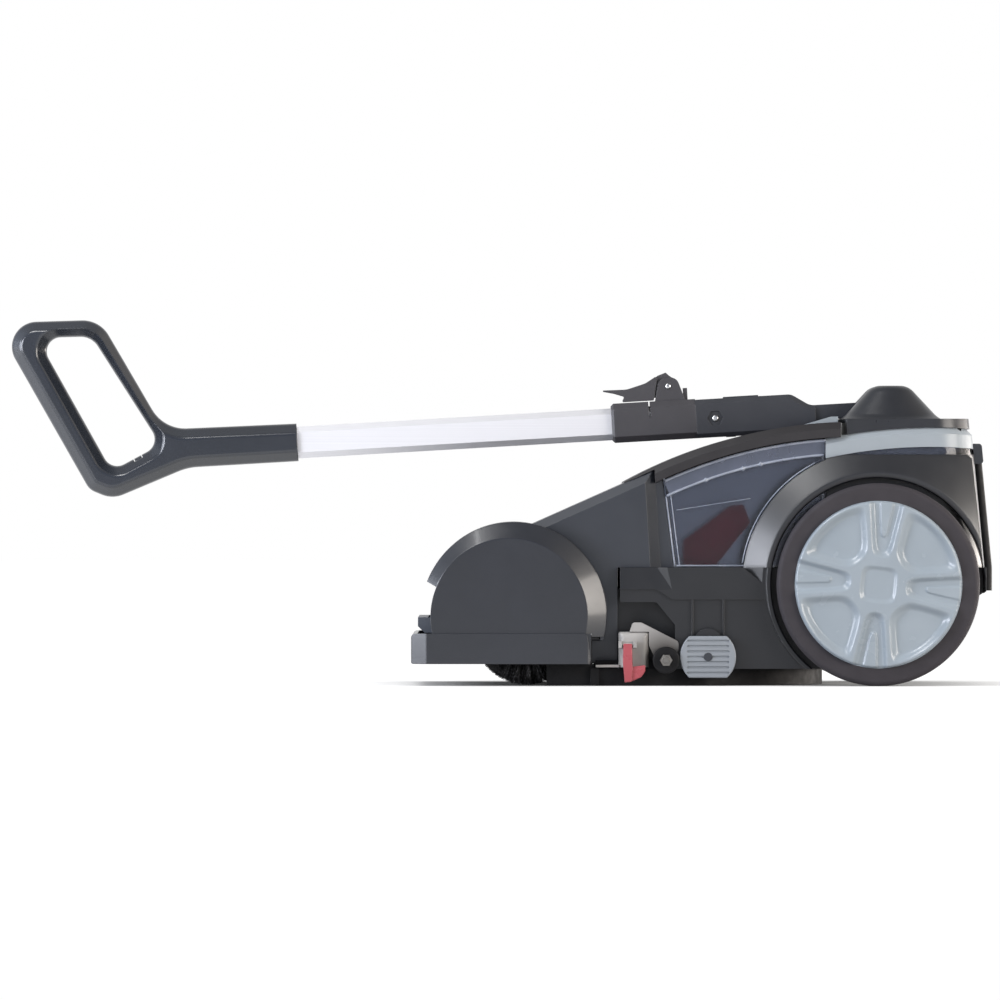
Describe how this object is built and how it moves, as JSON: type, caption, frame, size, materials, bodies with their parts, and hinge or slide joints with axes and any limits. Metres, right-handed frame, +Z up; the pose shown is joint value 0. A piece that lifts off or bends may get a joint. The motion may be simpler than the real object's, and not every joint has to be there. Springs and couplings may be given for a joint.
{
  "type": "floor scrubber dryer",
  "caption": "Compact walk-behind floor scrubber dryer with a roller brush in front, a curved squeegee, clear tanks and a folding, sliding loop handle laid forward.",
  "frame": {"origin": "on the floor, in the middle of the overall length and width with the handle folded forward", "axes": "+X from the brush towards the wheels at the back, +Y to the machine's right as it faces forward, +Z up"},
  "size_m": [1.1716, 0.43, 0.4353],
  "materials": {
    "dark_plastic": "satin moulded plastic",
    "gloss_slate": "glossy moulded plastic",
    "aluminium": "bright anodised",
    "tyre": "matt rubber",
    "hub_grey": "satin",
    "pale_grey": "satin",
    "clear_smoke": "clear smoked plastic",
    "red_plastic": "gloss",
    "steel": "bright",
    "rubber": "matt",
    "bristle": "nylon",
    "bronze": "plain"
  },
  "bodies": {
    "machine": {"chassis_tray": "dark_plastic", "axle": "steel", "axle_nuts": "steel", "front_hood": "dark_plastic", "recovery_tank": "clear_smoke", "debris_basket": "red_plastic", "lid_seal": "rubber", "tank_lid": "dark_plastic", "lid_latch": "pale_grey", "rear_body": "dark_plastic", "solution_tank": "clear_smoke", "rear_trim": "pale_grey", "rear_cover": "dark_plastic", "rear_grip": "dark_plastic", "drain_pipe": "rubber", "battery_pack": "dark_plastic", "vacuum_motor": "dark_plastic", "hinge_pin": "steel", "deck_cover": "dark_plastic", "left_end_cap": "dark_plastic", "right_end_cap": "dark_plastic", "deck_skirt": "dark_plastic", "splash_strips": "rubber", "drive_belt": "rubber", "brush_motor": "dark_plastic"},
    "left_wheel": {"left_tyre": "tyre", "left_rim": "hub_grey", "left_bush": "bronze", "left_hub_cap": "hub_grey"},
    "right_wheel": {"right_tyre": "tyre", "right_rim": "hub_grey", "right_bush": "bronze", "right_hub_cap": "hub_grey"},
    "brush": {"brush_core": "dark_plastic", "bristles": "bristle", "brush_pulley": "dark_plastic"},
    "motor_shaft": {"motor_pulley": "dark_plastic"},
    "hopper": {"debris_hopper": "dark_plastic"},
    "squeegee": {"squeegee_holder": "dark_plastic", "front_blade": "rubber", "rear_blade": "rubber", "lift_rods": "steel", "roller_bolts": "steel", "left_carriage": "pale_grey", "right_carriage": "pale_grey"},
    "left_release": {"left_clip": "red_plastic"},
    "right_release": {"right_clip": "red_plastic"},
    "left_side_roller": {"left_roller": "rubber"},
    "right_side_roller": {"right_roller": "rubber"},
    "lift_pedal": {"pedal": "hub_grey", "pedal_screw": "dark_plastic", "pedal_carrier": "dark_plastic"},
    "handle_base": {"yoke": "dark_plastic", "yoke_bolt": "steel", "clamp_collar": "dark_plastic"},
    "lever": {"clamp_lever": "dark_plastic"},
    "handle": {"handle_tube": "aluminium", "handle_grip": "gloss_slate"},
    "button": {"drive_button": "gloss_slate"}
  },
  "joints": [
    {"name": "left_wheel_spin", "type": "hinge", "parent": "machine", "child": "left_wheel", "pos_m": [0.446, -0.208, 0.12], "axis": [0, 1, 0], "continuous": true},
    {"name": "right_wheel_spin", "type": "hinge", "parent": "machine", "child": "right_wheel", "pos_m": [0.446, 0.208, 0.12], "axis": [0, 1, 0], "continuous": true},
    {"name": "brush_spin", "type": "hinge", "parent": "machine", "child": "brush", "pos_m": [0.03, 0, 0.064], "axis": [0, 1, 0], "continuous": true},
    {"name": "motor_spin", "type": "hinge", "parent": "machine", "child": "motor_shaft", "pos_m": [-0.022, 0, 0.148], "axis": [0, 1, 0], "continuous": true},
    {"name": "hopper_slide", "type": "slide", "parent": "machine", "child": "hopper", "axis": [-1, 0, 0], "range_m": [0, 0.09]},
    {"name": "squeegee_lift", "type": "slide", "parent": "machine", "child": "squeegee", "axis": [0, 0, 1], "range_m": [0, 0.0224]},
    {"name": "pedal_lift", "type": "slide", "parent": "machine", "child": "lift_pedal", "axis": [0, 0, 1], "range_m": [0, 0.028]},
    {"name": "left_clip_swing", "type": "hinge", "parent": "squeegee", "child": "left_release", "pos_m": [0.1435, -0.1888, 0.049], "axis": [-1, 0, 0], "range_deg": [0, 50]},
    {"name": "right_clip_swing", "type": "hinge", "parent": "squeegee", "child": "right_release", "pos_m": [0.1435, 0.1888, 0.049], "axis": [1, 0, 0], "range_deg": [0, 50]},
    {"name": "left_roller_spin", "type": "hinge", "parent": "squeegee", "child": "left_side_roller", "pos_m": [0.1953, -0.177, 0.0305], "axis": [0, 1, 0], "continuous": true},
    {"name": "right_roller_spin", "type": "hinge", "parent": "squeegee", "child": "right_side_roller", "pos_m": [0.1953, 0.177, 0.0305], "axis": [0, 1, 0], "continuous": true},
    {"name": "handle_fold", "type": "hinge", "parent": "machine", "child": "handle_base", "pos_m": [0.468, 0, 0.33], "axis": [0, 1, 0], "range_deg": [0, 130]},
    {"name": "lever_open", "type": "hinge", "parent": "handle_base", "child": "lever", "pos_m": [0.20005, 0, 0.35597], "axis": [0, 1, 0], "range_deg": [0, 85]},
    {"name": "handle_extend", "type": "slide", "parent": "handle_base", "child": "handle", "axis": [-0.9983, 0, -0.0577], "range_m": [0, 0.08]},
    {"name": "button_press", "type": "slide", "parent": "handle", "child": "button", "axis": [0.4712, 0, -0.882], "range_m": [0, 0.003], "stiffness_N_per_m": 900}
  ],
  "couplings": [
    {"joint": "motor_spin", "follows": "brush_spin", "ratio": 1.6923},
    {"joint": "pedal_lift", "follows": "squeegee_lift", "ratio": 1.25}
  ]
}
